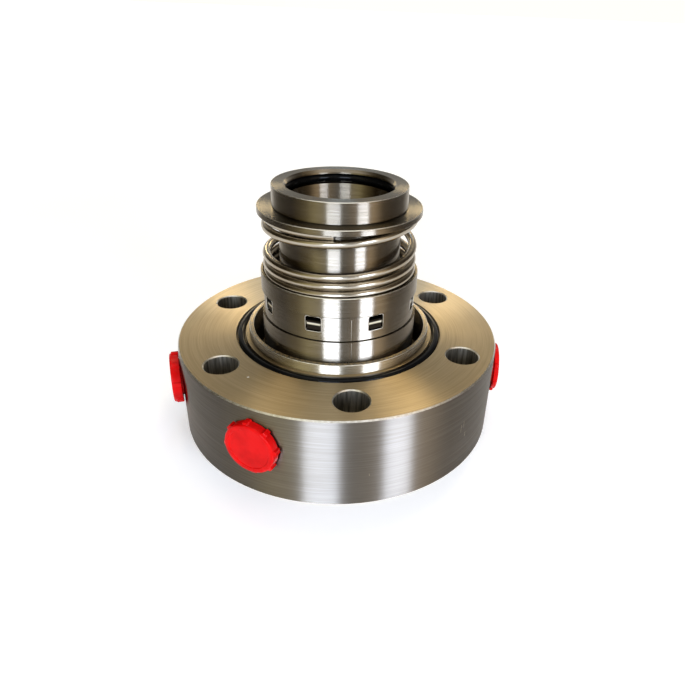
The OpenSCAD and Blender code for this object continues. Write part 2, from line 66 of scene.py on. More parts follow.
# %% [markdown]
# ## The camera
# The photograph looks down on the seal from the front at about 28 degrees, and from close by.
# A camera could be aimed at the seal with a constraint, but the real one was held a bit askew.
# So its place, its turn and its lens are values of their own here, fitted to the ellipses of the
# gland, the flange and the bore. A camera is a matrix of four columns: its right, its up, its back
# and its place.

# %% Place the camera
CAMERA_DISTANCE = 347.5 * MM
CAMERA_ELEVATION = radians(28.35)
CAMERA_AZIMUTH = radians(-4.8)
CAMERA_PAN = radians(-3.33)
CAMERA_TILT = radians(1.1)
CAMERA_ROLL = radians(-0.55)
PHOTO_SIZE = (685, 700)
FOCAL_PIXELS = 585.6
OPTICAL_CENTRE = (373.2, 338.4)
SENSOR = 36
NEAREST_SEEN = 0.01
FARTHEST_SEEN = 100


def turned_pair(first, second, angle):
    """Turns two axes in their common plane."""
    return first * cos(angle) + second * sin(angle), second * cos(angle) - first * sin(angle)


def camera_matrix():
    """The camera's place and turn, built from its elevation and its three small turns."""
    about_z = Matrix.Rotation(CAMERA_AZIMUTH, 3, "Z")
    right = Vector((1, 0, 0))
    up = Vector((0, sin(CAMERA_ELEVATION), cos(CAMERA_ELEVATION)))
    ahead = Vector((0, cos(CAMERA_ELEVATION), -sin(CAMERA_ELEVATION)))
    place = -ahead * CAMERA_DISTANCE
    right, ahead = turned_pair(right, ahead, CAMERA_PAN)
    up, ahead = turned_pair(up, ahead, CAMERA_TILT)
    up, right = turned_pair(up, right, CAMERA_ROLL)
    columns = [about_z @ axis for axis in (right, up, -ahead, place)]
    matrix = Matrix([[column[row] for column in columns] for row in range(3)])
    return matrix.to_4x4()


camera_data = bpy.data.cameras.new("camera")
camera = bpy.data.objects.new("camera", camera_data)
bpy.context.collection.objects.link(camera)
camera.matrix_world = camera_matrix()
camera_data.sensor_width = SENSOR
camera_data.lens = FOCAL_PIXELS / PHOTO_SIZE[1] * SENSOR
camera_data.shift_x = (PHOTO_SIZE[0] / 2 - OPTICAL_CENTRE[0]) / PHOTO_SIZE[1]
camera_data.shift_y = (OPTICAL_CENTRE[1] - PHOTO_SIZE[1] / 2) / PHOTO_SIZE[1]
camera_data.clip_start = NEAREST_SEEN
camera_data.clip_end = FARTHEST_SEEN
bpy.context.scene.camera = camera
print("camera stands at", [round(v / MM) for v in camera.location], "mm")

# %% [markdown]
# ## Small helpers for materials
# Every finish below is a short chain of nodes. The chains could be drawn in the node editor, but
# as code they can be read and made again in the same way. Each helper adds a node or two and
# hands back an output, which the next helper takes in. The world is made with them too.

# %% Make a material and its nodes
def new_material(name, **values):
    """A material whose shader has the given fixed values. Underscores stand for spaces."""
    material = bpy.data.materials.new(name)
    material.use_nodes = True
    shader = material.node_tree.nodes["Principled BSDF"]
    for socket, value in values.items():
        shader.inputs[socket.replace("_", " ")].default_value = value
    return material


def add_node(material, kind, inputs=(), **settings):
    """Adds a node. An input's value is a number, a colour or the output of another node."""
    made = material.node_tree.nodes.new("ShaderNode" + kind)
    for setting, value in settings.items():
        setattr(made, setting, value)
    for socket, value in dict(inputs).items():
        if isinstance(value, bpy.types.NodeSocket):
            material.node_tree.links.new(value, made.inputs[socket])
        else:
            made.inputs[socket].default_value = value
    return made


def plug_in(material, socket, output):
    """Feeds a node's output to the shader."""
    shader = material.node_tree.nodes["Principled BSDF"]
    material.node_tree.links.new(output, shader.inputs[socket])


# %% Numbers and vectors in a chain
def maths(material, operation, first, second=0.0):
    """The output of one Math node."""
    return add_node(material, "Math", {0: first, 1: second}, operation=operation).outputs[0]


def parts_of(material, vector):
    """The three parts of a vector."""
    return add_node(material, "SeparateXYZ", {0: vector}).outputs


def remap(material, value, low, high, start=0.0, end=1.0, **settings):
    """Runs from low to high while the value runs from start to end."""
    inputs = {0: value, 1: start, 2: end, 3: low, 4: high}
    return add_node(material, "MapRange", inputs, **settings).outputs[0]


def own_place(material):
    """The place on the piece, in metres from the frame's origin."""
    return add_node(material, "TexCoord").outputs["Object"]


def noise(material, vector, scale=1.0, detail=2.0, roughness=0.5):
    """The grey output of a noise texture."""
    inputs = {"Vector": vector, "Scale": scale, "Detail": detail, "Roughness": roughness}
    return add_node(material, "TexNoise", inputs).outputs["Fac"]


# %% Colours and bumps at the end of a chain
def ramp(material, factor, stops):
    """A colour ramp through the given places and colours."""
    made = add_node(material, "ValToRGB", {0: factor})
    elements = made.color_ramp.elements
    while len(elements) < len(stops):
        elements.new(0.5)
    for element, (place, colour) in zip(elements, stops):
        element.position = place
        element.color = (*colour, 1)
    return made.outputs["Color"]


def mix_colours(material, factor, first, second):
    """Mixes two colours. A Mix node has its colours on inputs 6 and 7 and on output 2."""
    inputs = {"Factor": factor, 6: first, 7: second}
    return add_node(material, "Mix", inputs, data_type="RGBA").outputs[2]


def tint(material, grey, dark, light, edges=(0.3, 0.7)):
    """Colours the surface from dark to light by a grey value between two edges."""
    plug_in(material, "Base Color", ramp(material, grey, [(edges[0], dark), (edges[1], light)]))


def emboss(material, grey, strength, depth, **further):
    """Raises the surface by a grey value, up to the given depth in metres."""
    inputs = {"Strength": strength, "Distance": depth, "Height": grey, **further}
    plug_in(material, "Normal", add_node(material, "Bump", inputs).outputs[0])


# %% [markdown]
# ## Turned steel
# Nearly all the steel on this seal was cut on a lathe. The tool leaves fine rings, so a highlight
# is drawn out across them: up and down on a side wall, and outwards on a flat face. Rings that
# fine would need millions of faces in a mesh, so the shader does it. It is anisotropic, with a
# tangent that runs around the shaft. The rings that can be seen are noise in lathe coordinates:
# stretched far around the shaft and very fine across the cut.
# The feed marks of a wall lean, so it throws back the room more than the floor it stands on.

# %% Coordinates and normals of the cut
FLAT_FROM = 0.7


def is_flat(material):
    """One on faces that look along the shaft, nought on the walls."""
    facing = parts_of(material, add_node(material, "TexCoord").outputs["Normal"])[2]
    return maths(material, "GREATER_THAN", maths(material, "ABSOLUTE", facing), FLAT_FROM)


def lathe_coordinates(material, around, across):
    """Coordinates that follow the cut: slow around the shaft, fast along the wall or the radius."""
    x, y, z = parts_of(material, own_place(material))
    x_squared = maths(material, "MULTIPLY", x, x)
    y_squared = maths(material, "MULTIPLY", y, y)
    radius = maths(material, "SQRT", maths(material, "ADD", x_squared, y_squared))
    cut = add_node(material, "Mix", {"Factor": is_flat(material), "A": z, "B": radius}).outputs[0]
    turn = maths(material, "DIVIDE", around, radius)
    parts = {0: maths(material, "MULTIPLY", x, turn), 1: maths(material, "MULTIPLY", y, turn),
             2: maths(material, "MULTIPLY", cut, across)}
    return add_node(material, "CombineXYZ", parts).outputs[0]


def leaning_normal(material, lean):
    """The normal of a surface whose walls are cut in fine steps that lean upwards."""
    normal = add_node(material, "NewGeometry").outputs["Normal"]
    level = maths(material, "ABSOLUTE", parts_of(material, normal)[2])
    upward = add_node(material, "CombineXYZ", {2: remap(material, level, lean, 0.0)}).outputs[0]
    leaned = add_node(material, "VectorMath", {0: normal, 1: upward}, operation="ADD").outputs[0]
    return add_node(material, "VectorMath", {0: leaned}, operation="NORMALIZE").outputs[0]


# %% The turned steel material
HIGHLIGHT_STRETCH = 0.95
ACROSS_THE_RINGS = 0.25
# Radius of the loop that the noise runs along, and noise cells for each metre across the cut
FINE_RINGS = (1.2, 2400)
BROAD_RINGS = (2.0, 1300)
STAINS_PER_METRE = 18
STAIN_SHARE = 0.35
TONE_EDGES = (0.4, 0.6)
ROUGHNESS_SWING = 0.06
RING_STRENGTH = 0.3
RING_DEPTH = 0.01 * MM


def turned_steel(name, wall, face, rough, lean=0.45):
    """Lathe-turned steel. A wall and a face each have a light tone and a darker one; the step from wall
    to face is painted light and shade.
    """
    material = new_material(name, Metallic=1.0, Anisotropic=HIGHLIGHT_STRETCH,
                            Anisotropic_Rotation=ACROSS_THE_RINGS)
    fine_rings = noise(material, lathe_coordinates(material, *FINE_RINGS), detail=3)
    broad_rings = noise(material, lathe_coordinates(material, *BROAD_RINGS), detail=3, roughness=0.6)
    stains = noise(material, own_place(material), STAINS_PER_METRE, detail=3)
    shades = {"Factor": STAIN_SHARE, "A": broad_rings, "B": stains}
    shade = add_node(material, "Mix", shades).outputs[0]
    # The face tones differ from the wall tones by painted light and shade: level faces are made lighter
    # or darker for how the lamps fall on them, not by the steel.
    wall_tone, face_tone_painted_light_and_shade = [ramp(material, shade, list(zip(TONE_EDGES, (dark, light))))
                            for light, dark in (wall, face)]
    plug_in(material, "Base Color", mix_colours(material, is_flat(material), wall_tone, face_tone_painted_light_and_shade))
    spread = remap(material, fine_rings, rough - ROUGHNESS_SWING, rough + ROUGHNESS_SWING)
    plug_in(material, "Roughness", spread)
    emboss(material, fine_rings, RING_STRENGTH, RING_DEPTH, Normal=leaning_normal(material, lean))
    tangent = add_node(material, "Tangent", direction_type="RADIAL", axis="Z")
    plug_in(material, "Tangent", tangent.outputs[0])
    return material


# %% Mix the turned steels
# Painted light and shade: the gland's faces are lighter than its walls and the head's faces darker than
# its walls, for how light falls on them. The warm brown of the gland and head steels is a painted
# reflection of a brown room.
GLAND_WALL = ((0.222, 0.202, 0.176), (0.178, 0.159, 0.135))
GLAND_FACE_PAINTED_LIGHT = ((0.475, 0.373, 0.224), (0.385, 0.30, 0.172))
HEAD_WALL = ((0.25, 0.22, 0.18), (0.20, 0.173, 0.134))
HEAD_FACE_PAINTED_SHADE = ((0.135, 0.114, 0.074), (0.105, 0.087, 0.053))
BRIGHT = ((0.62, 0.59, 0.53), (0.54, 0.51, 0.45))
# Painted shade: a near-black steel for the ring with the lugs and the walls of the pocket, which lie in
# shadow.
PAINTED_SHADE = ((0.05, 0.04, 0.03), (0.035, 0.03, 0.02))
# Painted light: a lighter copy of the gland steel for the raised ring. The gland's scratches use it too,
# as bare metal.
PILOT_PAINTED_LIGHT = ((0.42, 0.375, 0.30), (0.33, 0.29, 0.225))
gland_steel = turned_steel("gland_steel", GLAND_WALL, GLAND_FACE_PAINTED_LIGHT, rough=0.34, lean=0.52)
head_steel = turned_steel("head_steel", HEAD_WALL, HEAD_FACE_PAINTED_SHADE, rough=0.24)
bright_steel = turned_steel("bright_steel", BRIGHT, BRIGHT, rough=0.25)
painted_shade_steel = turned_steel("painted_shade_steel", PAINTED_SHADE, PAINTED_SHADE, rough=0.25)
painted_light_and_scratch_steel = turned_steel("painted_light_and_scratch_steel", PILOT_PAINTED_LIGHT, PILOT_PAINTED_LIGHT, rough=0.28)
for steel in (gland_steel, head_steel, bright_steel, painted_shade_steel, painted_light_and_scratch_steel):
    print("turned steel:", steel.name)

# %% [markdown]
# ## Cut edges, drilled holes and drive lugs
# Three places on the steel don't look turned. The bevels are freshly cut, and their bright tone is
# bare metal with a painted highlight where they catch the light. The holes are darker than the faces
# round them, and the drill marks run along them. The lugs stand in the shade of their windows: their
# dark tone is painted shade, and the bright band on their rounded upper edge is a painted highlight.
# Each could be an object of its own, but a second material on the faces of the solid keeps the shape
# as it is.

# %% Edges, holes and lugs
EDGE_GRAIN = 700
# Noise cells for each metre, two ways across a hole and then along it
DRILL_MARKS = (900, 900, 60)
LUG_Z = (19.6 * MM, 24.5 * MM)
LUG_PAINTED_SHADE = (0.03, 0.025, 0.02)


def cut_edge_and_painted_highlight():
    """Freshly cut edges and bevels, brighter than the faces beside them: partly bare cut metal, partly a
    painted highlight.
    """
    material = new_material("cut_edge_and_painted_highlight", Metallic=1.0)
    cut = noise(material, own_place(material), EDGE_GRAIN)
    tint(material, cut, (0.70, 0.67, 0.60), (0.90, 0.88, 0.82))
    plug_in(material, "Roughness", remap(material, cut, 0.25, 0.45))
    return material


def bored_steel():
    """The walls of drilled holes, with marks along the hole."""
    material = new_material("bored_steel", Metallic=1.0)
    drawn_out = {0: own_place(material), 1: DRILL_MARKS}
    marks = noise(material, add_node(material, "VectorMath", drawn_out, operation="MULTIPLY").outputs[0])
    tint(material, marks, (0.24, 0.215, 0.17), (0.55, 0.51, 0.43), (0.35, 0.65))
    plug_in(material, "Roughness", remap(material, marks, 0.36, 0.5))
    return material


def lug_painted_light_and_shade():
    """The drive lugs: darkened with painted shade in their windows, with a painted highlight on their
    rounded upper edge.
    """
    material = new_material("lug_painted_light_and_shade", Metallic=1.0, Roughness=0.4)
    height = parts_of(material, own_place(material))[2]
    up_the_lug = remap(material, height, 0.0, 1.0, *LUG_Z)
    # By height: painted shade below and above, and a painted highlight band at the rounded upper edge.
    stops = [(0.52, LUG_PAINTED_SHADE), (0.57, (0.85, 0.82, 0.66)), (0.74, (0.95, 0.92, 0.78)),
             (0.8, LUG_PAINTED_SHADE)]
    plug_in(material, "Base Color", ramp(material, up_the_lug, stops))
    return material


bright_cut_and_highlight_steel = cut_edge_and_painted_highlight()
hole_steel = bored_steel()
lugs = lug_painted_light_and_shade()
print("edges, holes and lugs:", bright_cut_and_highlight_steel.name, hole_steel.name, lugs.name)

# %% [markdown]
# ## Spring wire
# The spring is drawn and coiled, not turned, so it has no rings. It is satin steel with small
# marks from the coiling tools and a tone that drifts along the wire. Marks that wind with the
# wire would need coordinates of their own, and at this size nobody could tell them apart. So
# noise in plain coordinates does both, at two scales.

# %% The wire
COILING_MARKS = 260
TONE_DRIFT = 30


def drawn_wire():
    """Spring wire: satin steel with small marks from coiling."""
    material = new_material("drawn_wire", Metallic=1.0, Roughness=0.21)
    marks = noise(material, own_place(material), COILING_MARKS, detail=4, roughness=0.65)
    tone = noise(material, own_place(material), TONE_DRIFT)
    tint(material, tone, (0.31, 0.265, 0.20), (0.43, 0.385, 0.31), (0.35, 0.65))
    emboss(material, marks, strength=0.25, depth=0.04 * MM)
    return material


wire = drawn_wire()
print("spring:", wire.name)

# %% [markdown]
# ## Rubber and moulded plastic
# The O-rings are black rubber with a film of oil, and the plugs are glossy red plastic. Both are
# dielectrics, so their base colour does the work and a low specular level keeps grey reflections
# off it. A faint cloud in colour and bump stands for the skin of the mould.

# %% Rubber and plastic
RUBBER_CLOUD = 120
PLASTIC_FLOW = 110


def oiled_rubber():
    """Black rubber with a soft sheen."""
    material = new_material("oiled_rubber", Roughness=0.12, IOR=1.5, Specular_IOR_Level=0.12)
    cloud = noise(material, own_place(material), RUBBER_CLOUD)
    tint(material, cloud, (0.002, 0.002, 0.002), (0.004, 0.004, 0.004))
    emboss(material, cloud, strength=0.1, depth=0.03 * MM)
    return material


def moulded_plastic():
    """Bright red moulded plastic with a faint flow pattern."""
    material = new_material("moulded_plastic", Roughness=0.22, IOR=1.5, Specular_IOR_Level=0.08)
    flow = noise(material, own_place(material), PLASTIC_FLOW, detail=3)
    tint(material, flow, (0.50, 0.002, 0.002), (0.64, 0.004, 0.004), (0.35, 0.6))
    emboss(material, flow, strength=0.5, depth=0.3 * MM)
    return material


rubber = oiled_rubber()
red_plastic = moulded_plastic()
print("rubber and plastic:", rubber.name, red_plastic.name)

# %% [markdown]
# ## The sealing rings
# Deep inside, a carbon ring runs on a ceramic one, and a white ring backs up an O-ring. The first
# two are lapped, and the third is pressed from powder, so all are so even that only a very fine
# grain is left. One function makes the three from a dark and a light tone and a roughness.

# %% Rings with a fine grain
RING_GRAIN = 900


def grained_ring(name, dark, light, rough):
    """A ring of even colour and fine grain."""
    material = new_material(name, Roughness=rough)
    tint(material, noise(material, own_place(material), RING_GRAIN), dark, light)
    return material


carbon = grained_ring("lapped_carbon", (0.02, 0.02, 0.022), (0.04, 0.04, 0.043), 0.35)
ceramic = grained_ring("lapped_ceramic", (0.05, 0.053, 0.06), (0.08, 0.084, 0.09), 0.2)
white_ring = grained_ring("white_ring", (0.75, 0.75, 0.71), (0.82, 0.82, 0.78), 0.5)
print("rings inside:", carbon.name, ceramic.name, white_ring.name)

# %% [markdown]
# ## Dress the solids
# A solid whose shape is right keeps its mesh and gets a finish. The record already says which
# slot each solid belongs to, so the finish follows from there. The gland plate gets a steel of its
# own, whose faces carry painted light that makes them lighter than the head. The ring with the lugs
# lies in shadow, so it gets a steel darkened with painted shade.

# %% Give every solid its finish
FINISH = {"turned_steel": head_steel, "bright_steel": bright_steel, "spring_steel": wire,
          "black_rubber": rubber, "red_plastic": red_plastic, "carbon": carbon,
          "silicon_carbide": ceramic, "white_ptfe": white_ring}


def dress(node, material):
    """Puts one material on a solid."""
    nodes[node].data.materials.clear()
    nodes[node].data.materials.append(material)


for row in frame["record"]["subparts"]:
    dress(row["node"], FINISH[row["material_slot"]])
dress("gland_plate", gland_steel)
dress("thrust_ring", painted_shade_steel)

# %% [markdown]
# ## Pick out the faces that differ
# Bevels, bores and the raised ring were cut in steps of their own. Their finishes carry painted light: a
# painted highlight on the upward bevels, painted shade on the walls of the pocket and painted light on
# the raised ring; the bolt holes get drill marks.
# The faces could be marked by hand, but the marks would be lost when the solids are packed again.
# So a test on each face's centre and normal picks them, with radii between neighbouring walls.

# %% Tests for faces
BEVEL_SLOPE = (0.6, 0.8)
FACE_RING_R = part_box("face_ring")[1].x
CAVITY_R = FACE_RING_R + 8 * MM
CAVITY_WALL_SLOPE = 0.5
PILOT_R = (CAVITY_R - 1 * MM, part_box("gland_o_ring")[1].x - 3 * MM)
PILOT_FOOT = 0.1 * MM
DOWNWARD = -0.1
BOLT_HOLE_R = (65 * MM, 85 * MM)
HOLE_WALL_SLOPE = 0.3
LUG_FRONT_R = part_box("thrust_ring")[1].x - 1.2 * MM


def on_bevel(centre, normal):
    """True on the upward 45 degree bevels of a turned part, which get a painted highlight."""
    return BEVEL_SLOPE[0] < normal.z < BEVEL_SLOPE[1]


def in_the_cavity(centre, normal):
    """True on the walls of the pocket that the head stands in, which get painted shade."""
    return centre.xy.length < CAVITY_R and abs(normal.z) < CAVITY_WALL_SLOPE


def in_a_bolt_hole(centre, normal):
    """True on the walls of the bolt holes."""
    return BOLT_HOLE_R[0] < centre.xy.length < BOLT_HOLE_R[1] and abs(normal.z) < HOLE_WALL_SLOPE


def on_pilot_ring(centre, normal):
    """True on the raised ring that centres the gland, which gets painted light."""
    raised = centre.z > PILOT_FOOT and normal.z > DOWNWARD
    return raised and PILOT_R[0] < centre.xy.length < PILOT_R[1]


def on_lug_front(centre, normal):
    """True on the ends of the lugs."""
    return centre.xy.length > LUG_FRONT_R


# %% Give the picked faces their finish
def pick_faces(node, material, chosen):
    """Gives a second finish to the faces of a solid that a test picks by centre and normal."""
    mesh = nodes[node].data
    mesh.materials.append(material)
    count = 0
    for face in mesh.polygons:
        if chosen(face.center, face.normal):
            face.material_index = len(mesh.materials) - 1
            count += 1
    print(node, "has", count, "faces of", material.name)


for bevelled in ("sleeve", "retainer_shell", "face_ring"):
    pick_faces(bevelled, bright_cut_and_highlight_steel, on_bevel)
# The walls of the pocket get painted shade.
pick_faces("gland_plate", painted_shade_steel, in_the_cavity)
pick_faces("gland_plate", hole_steel, in_a_bolt_hole)
pick_faces("gland_plate", painted_light_and_scratch_steel, on_pilot_ring)
pick_faces("gland_plate", bright_cut_and_highlight_steel, on_bevel)
pick_faces("thrust_ring", lugs, on_lug_front)

# %% [markdown]
# ## Small helpers for pieces
# The new pieces are all made in the same way. Rings of points are joined into a skin, the skin
# becomes an object, and the object rides on the body that it moves with. Where a piece stands for
# a solid, the solid is hidden and stays for the physics.

# %% Build a piece and tie it to its body
def skin(mesh, rings, closed_ends=True):
    """Joins rings of points into a tube."""
    loops = [[mesh.verts.new(point) for point in ring] for ring in rings]
    for low, high in zip(loops, loops[1:]):
        for j in range(len(low)):
            k = (j + 1) % len(low)
            mesh.faces.new((low[j], low[k], high[k], high[j]))
    if closed_ends:
        mesh.faces.new(loops[0])
        mesh.faces.new(loops[-1][::-1])


def finish_piece(name, mesh, material, body, slot, *replaced):
    """Turns a built mesh into a piece that rides on a body and stands for its solids."""
    bmesh.ops.recalc_face_normals(mesh, faces=mesh.faces)
    data = bpy.data.meshes.new(name)
    mesh.to_mesh(data)
    mesh.free()
    data.materials.append(material)
    piece = bpy.data.objects.new(name, data)
    bpy.context.collection.objects.link(piece)
    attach(piece, body)
    if replaced:
        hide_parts(*replaced)
    print(name, "has", len(data.polygons), "faces")
    return piece


def smooth(piece, angle):
    """Smooth shading that keeps edges sharper than the angle."""
    piece.data.shade_smooth()
    piece.data.set_sharp_from_angle(angle=radians(angle))


# %% [markdown]
# ## The spring
# The real spring is one wire coiled to the right, with closed ends ground flat. A Screw modifier
# makes a coil of one even pitch, but these turns lie close at both ends and open in the middle.
# So the wire is swept through known heights, with enough steps and sides to look round. The ends
# are ground by moving every point that passes the seat or the flange back onto it.

# %% The path of the wire
WIRE_D = 4.5 * MM
COIL_GAP = 0.1 * MM
CLOSED_PITCH = WIRE_D + COIL_GAP
SPRING_LENGTH = 41.8 * MM
# How far the head, and the coil's turn nought, are turned from the front, in degrees
HEAD_TURN = -0.7
COIL_FRONT = HEAD_TURN - 4.8
# Turn of the coil, and height above the seat in closed pitches
LOWER_TURNS = [(-3, 0.17), (-2.2, 0.65), (-2, 1.17), (-1, 2.17), (0, 3.17), (0.4, 3.85),
               (0.75, 4.1), (1, 4.22), (1.25, 5.2), (1.5, 6.95)]
# Turn of the coil, and depth below the flange in closed pitches
UPPER_TURNS = [(1.875, 1.39), (2, 1.13), (2.083, 0.84), (2.167, 0.57), (2.99, 0.16)]
seat_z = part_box("spring_seat")[1].z
flange_z = seat_z + SPRING_LENGTH
coil_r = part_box("spring")[1].x - WIRE_D / 2
coil_turns = [(t, seat_z + n * CLOSED_PITCH) for t, n in LOWER_TURNS]
coil_turns += [(t, flange_z - n * CLOSED_PITCH) for t, n in UPPER_TURNS]
print("spring radius:", round(coil_r / MM, 2), "mm")


def coil_slope(k):
    """Rise per turn at a known turn."""
    low = coil_turns[max(k - 1, 0)]
    high = coil_turns[min(k + 1, len(coil_turns) - 1)]
    return (high[1] - low[1]) / (high[0] - low[0])


def coil_height(t):
    """Height of the wire's middle at turn t, on a smooth curve through the known turns."""
    k = max(i for i in range(len(coil_turns) - 1) if i == 0 or coil_turns[i][0] <= t)
    low, high = coil_turns[k], coil_turns[k + 1]
    span = high[0] - low[0]
    s = (t - low[0]) / span
    rise = 3 * s ** 2 - 2 * s ** 3
    leaving = coil_slope(k) * span * (s - 2 * s ** 2 + s ** 3)
    arriving = coil_slope(k + 1) * span * (s ** 3 - s ** 2)
    return low[1] * (1 - rise) + high[1] * rise + leaving + arriving


# %% Sweep the wire
WIRE_SIDES = 20
STEPS_PER_TURN = 72
GROUND_EDGE = 40


def wire_ring(t):
    """One ring of points around the wire at turn t, ground at the seat and the flange."""
    angle = radians(COIL_FRONT - 90) + 2 * pi * t
    ring = []
    for j in range(WIRE_SIDES):
        a = 2 * pi * j / WIRE_SIDES
        r = coil_r + WIRE_D / 2 * cos(a)
        z = coil_height(t) + WIRE_D / 2 * sin(a)
        ring.append((r * cos(angle), r * sin(angle), min(max(z, seat_z), flange_z)))
    return ring


coil_first = coil_turns[0][0]
turn_count = coil_turns[-1][0] - coil_first
coil_steps = ceil(turn_count * STEPS_PER_TURN)
coil_mesh = bmesh.new()
skin(coil_mesh, [wire_ring(coil_first + turn_count * i / coil_steps) for i in range(coil_steps + 1)])
coil = finish_piece("coil_spring", coil_mesh, wire, "seal_head", "spring_steel", "spring")
smooth(coil, GROUND_EDGE)
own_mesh(coil)

# %% [markdown]
# ## Window edges
# The windows of the shell were milled, and a fine bright burr is left all round them. A bevel on
# the solid would be far finer than its faces, so the burr is a thin closed tube here. It follows
# the outline of the window on the curve of the shell, with its middle a little below the wall.

# %% Raise a burr round each window
# How far the band with the windows lies inside the widest band of the shell
BAND_STEP = 1.15 * MM
BAND_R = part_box("retainer_shell")[1].x - BAND_STEP
WINDOW_COUNT = 8
WINDOW_SIZE = (8.8 * MM, 8.6 * MM)
WINDOW_TOP = 27.5 * MM
WINDOW_FOOT = WINDOW_TOP - WINDOW_SIZE[1]
WINDOW_CORNER = 1.2 * MM
CORNER_STEPS = range(0, 91, 18)
BURR_R = 0.2 * MM
BURR_SUNK = 0.1 * MM
BURR_SIDES = 6
BURR_EDGE = 60
WELD = 1e-7


def on_cylinder(radius, angle, z):
    """A point of an upright cylinder. The angle counts from the front towards +X, in radians."""
    return Vector((radius * sin(angle), -radius * cos(angle), z))


def window_outline():
    """The round-cornered outline of a window, as offsets along the wall and up from its foot."""
    w, h, r = WINDOW_SIZE[0], WINDOW_SIZE[1], WINDOW_CORNER
    centres = [(w / 2 - r, h - r), (r - w / 2, h - r), (r - w / 2, r), (w / 2 - r, r)]
    return [(x + r * cos(radians(90 * k + step)), y + r * sin(radians(90 * k + step)))
            for k, (x, y) in enumerate(centres) for step in CORNER_STEPS]


def window_burr(mesh, middle):
    """A thin rounded burr around one window."""
    outline = window_outline()
    rings = []
    for i, (x, y) in enumerate(outline):
        ahead = Vector(outline[(i + 1) % len(outline)]) - Vector(outline[i - 1])
        ahead.normalize()
        ring = []
        for j in range(BURR_SIDES):
            side = BURR_R * cos(2 * pi * j / BURR_SIDES)
            lift = BURR_R * sin(2 * pi * j / BURR_SIDES) - BURR_SUNK
            across = x + ahead.y * side
            upward = y - ahead.x * side
            ring.append(on_cylinder(BAND_R + lift, middle + across / BAND_R, WINDOW_FOOT + upward))
        rings.append(ring)
    skin(mesh, rings + rings[:1], closed_ends=False)
    bmesh.ops.remove_doubles(mesh, verts=mesh.verts, dist=WELD)


burr_mesh = bmesh.new()
for i in range(WINDOW_COUNT):
    window_burr(burr_mesh, radians(HEAD_TURN) + (i + 0.5) * 2 * pi / WINDOW_COUNT)
# The burr wears the bright edge steel: bare milled metal with a painted highlight.
burrs = finish_piece("window_edges", burr_mesh, bright_cut_and_highlight_steel, "seal_head", "turned_steel")
smooth(burrs, BURR_EDGE)

# %% [markdown]
# ## Scribe lines and scratches
# A scribe line at the front marks how shell and face ring stand to each other, and three short
# marks lie below it. The gland has a few scratches from handling. A texture could draw them, but
# slim raised bars keep their place and their edges from every side, and cost a few faces.

# %% Draw the scribe lines and the scratches
GLAND_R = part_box("gland_plate")[1].x
SCRIBE_ANGLE = radians(3.7)
SCRIBE_WIDTH = 0.16 * MM
SCRIBE_RELIEF = 0.02 * MM
SHELL_LINE = (14.6 * MM, 26.4 * MM)
RING_LINE = (4 * MM, 13.4 * MM)
MARK_ANGLES = (radians(0.2), radians(2.0), radians(4.6))
MARK_LINE = (0.6 * MM, 2.4 * MM)
MARK_WIDTH = 0.3 * MM
# Angle in degrees, foot and top in millimetres
SCRATCHES = [(4.8, -33.8, -32.4), (39.6, -27, -22), (40.9, -25, -20.5), (42.4, -32, -28)]


def scribe_line(mesh, radius, angle, low, high, width):
    """A fine upright line, a little proud of a turned wall."""
    half = width / 2 / radius
    section = [(-half, -SCRIBE_RELIEF), (half, -SCRIBE_RELIEF), (half, SCRIBE_RELIEF),
               (-half, SCRIBE_RELIEF)]
    skin(mesh, [[on_cylinder(radius + lift, angle + side, z) for side, lift in section]
                for z in (low, high)])


scribe_mesh = bmesh.new()
scribe_line(scribe_mesh, BAND_R, SCRIBE_ANGLE, *SHELL_LINE, SCRIBE_WIDTH)
scribe_line(scribe_mesh, FACE_RING_R, SCRIBE_ANGLE, *RING_LINE, SCRIBE_WIDTH)
for mark_angle in MARK_ANGLES:
    scribe_line(scribe_mesh, FACE_RING_R, mark_angle, *MARK_LINE, MARK_WIDTH)
# The scribe lines wear the bright edge steel too: scribed metal with a painted highlight.
finish_piece("scribe_lines", scribe_mesh, bright_cut_and_highlight_steel, "seal_head", "turned_steel")
scratch_mesh = bmesh.new()
for angle, foot, top in SCRATCHES:
    scribe_line(scratch_mesh, GLAND_R, radians(angle), foot * MM, top * MM, MARK_WIDTH)
finish_piece("gland_scratches", scratch_mesh, painted_light_and_scratch_steel, "gland", "turned_steel")

# %% [markdown]
# ## The shipping plugs
# Each port is closed by a moulded plastic plug. Its head has a rounded rim, a face that is sunk a
# little, and eight slim ribs for the fingers. Behind the head sits a hollow threaded body. It
# could be turned with a Screw modifier, but the ribs aren't round. So a plug is built as rings
# around its own axis, from the middle of the face to the bottom of the hollow.

# %% The shape of a plug
PLUG_R = 13.75 * MM
PLUG_MIDDLE_R = 0.5 * MM
FACE_SUNK = 0.3 * MM
# Radius of the sunk face, of the edge of its step, and of the flat of the rim
FACE_R = (10.9 * MM, 11.1 * MM, 11.3 * MM)
STEP_ROUND = 0.04 * MM
RIM_ROUND = 0.8 * MM
RIM_ANGLES = (radians(25), radians(50), radians(75))
THREAD_R = 10.25 * MM
THREAD_PITCH = 1.8 * MM
THREAD_DEPTH = 0.6 * MM
THREAD_START = -1.2 * MM
THREAD_MARGIN = 2 * MM
THREAD_END_BEVEL = 0.3 * MM
THREAD_END_R = THREAD_R - 0.9 * MM
HOLLOW_R = 7.4 * MM
HOLLOW_TOP = -1 * MM
PLUG_LENGTH = 15 * MM
CLEARANCE = 0.02 * MM
# Depth below the head in millimetres, and the share of a rib there
RIB_START = [(0.9, 0), (1.1, 0.8), (1.3, 1)]
RIB_FOOT = 0.25 * MM
RIB_FOOT_BEVEL = 0.2 * MM


